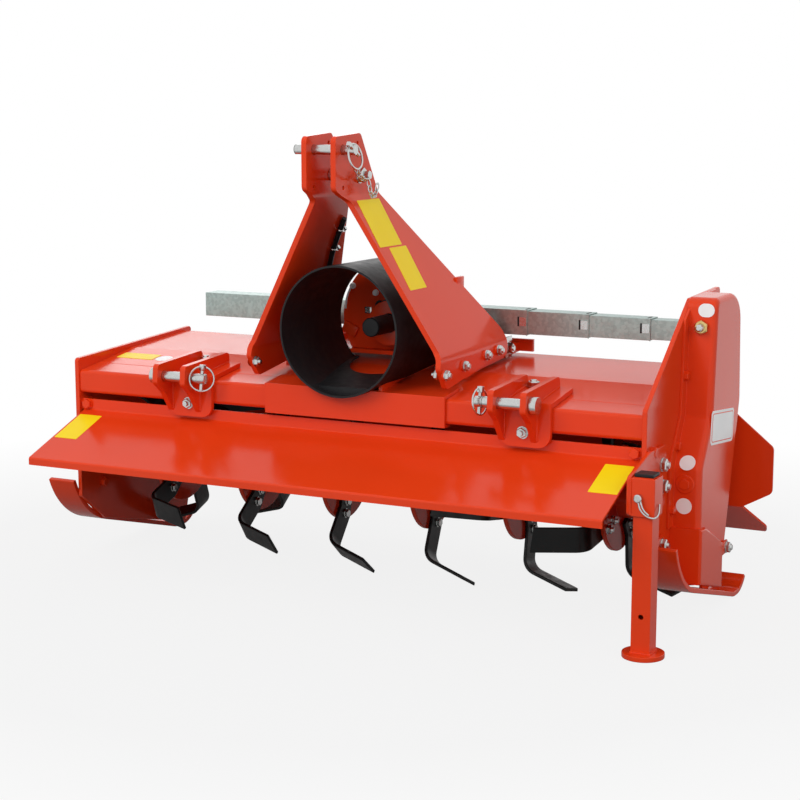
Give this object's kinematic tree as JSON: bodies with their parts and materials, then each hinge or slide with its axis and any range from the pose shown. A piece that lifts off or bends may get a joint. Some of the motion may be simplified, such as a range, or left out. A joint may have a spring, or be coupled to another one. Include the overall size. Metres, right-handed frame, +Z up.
{
  "type": "rotavator",
  "caption": "Tractor-mounted rotary tiller: bent tines on a chain-driven rotor under a hood, with side-shift headstock, front guard, hinged rear board and stand.",
  "frame": {"origin": "middle of the whole machine's footprint, on the floor", "axes": "+X across the machine towards the chain case, its left side; +Y to the rear; +Z up"},
  "size_m": [1.504, 0.7424, 0.9296],
  "materials": {
    "red_paint": "gloss",
    "galvanised": "satin",
    "zinc": "bright",
    "black_steel": "satin",
    "black_plastic": "matt"
  },
  "bodies": {
    "frame": {"front_beam": "red_paint", "hood": "red_paint", "front_guard": "red_paint", "side_plate_right": "red_paint", "side_plate_left": "red_paint", "chain_case": "red_paint", "chain_case_cap": "red_paint", "rotor_bearing": "red_paint", "skid_right": "red_paint", "skid_left": "red_paint", "stand_bracket": "red_paint", "stand_sleeve": "red_paint", "hinge_rod": "zinc", "hinge_lugs": "red_paint", "cover_end": "galvanised"},
    "headstock": {"beam_sleeve": "red_paint", "headstock_base": "red_paint", "headstock_wall": "red_paint", "mast_plate_left": "red_paint", "mast_plate_right": "red_paint", "mast_spacer": "zinc", "mast_bolt": "zinc", "top_pin": "zinc", "gearbox": "red_paint", "pto_shield": "black_plastic", "cover_right": "galvanised", "cover_gearbox": "galvanised", "hitch_base_left": "red_paint", "hitch_cheeks_left": "red_paint", "hitch_pin_left": "zinc", "hitch_base_right": "red_paint", "hitch_cheeks_right": "red_paint", "hitch_pin_right": "zinc"},
    "cover_inner": {"cover_inner": "galvanised"},
    "cover_outer": {"cover_outer": "galvanised"},
    "rotor": {"rotor_shaft": "red_paint", "tines": "black_steel"},
    "pto_shaft": {"pto_shaft": "black_steel"},
    "rear_board": {"rear_board": "red_paint"},
    "stand_leg": {"stand_leg": "red_paint", "stand_foot": "red_paint", "stand_cap": "black_plastic"}
  },
  "joints": [
    {"name": "headstock_shift", "type": "slide", "parent": "frame", "child": "headstock", "axis": [1, 0, 0], "range_m": [0, 0.15]},
    {"name": "cover_inner_slide", "type": "slide", "parent": "frame", "child": "cover_inner", "axis": [1, 0, 0], "range_m": [0, 0.15]},
    {"name": "cover_outer_slide", "type": "slide", "parent": "frame", "child": "cover_outer", "axis": [1, 0, 0], "range_m": [0, 0.15]},
    {"name": "rotor_spin", "type": "hinge", "parent": "frame", "child": "rotor", "pos_m": [0, 0.0328, 0.217], "axis": [1, 0, 0], "continuous": true},
    {"name": "pto_spin", "type": "hinge", "parent": "headstock", "child": "pto_shaft", "pos_m": [0.015, 0.0028, 0.54], "axis": [0, -1, 0], "continuous": true},
    {"name": "rear_board_hinge", "type": "hinge", "parent": "frame", "child": "rear_board", "pos_m": [0, 0.2808, 0.428], "axis": [1, 0, 0], "range_deg": [0, 70]},
    {"name": "stand_slide", "type": "slide", "parent": "frame", "child": "stand_leg", "axis": [0, 0, 1], "range_m": [0, 0.246]}
  ],
  "couplings": [
    {"joint": "cover_inner_slide", "follows": "headstock_shift", "ratio": 0.6667},
    {"joint": "cover_outer_slide", "follows": "headstock_shift", "ratio": 0.3333},
    {"joint": "pto_spin", "follows": "rotor_spin", "ratio": 2.5}
  ]
}
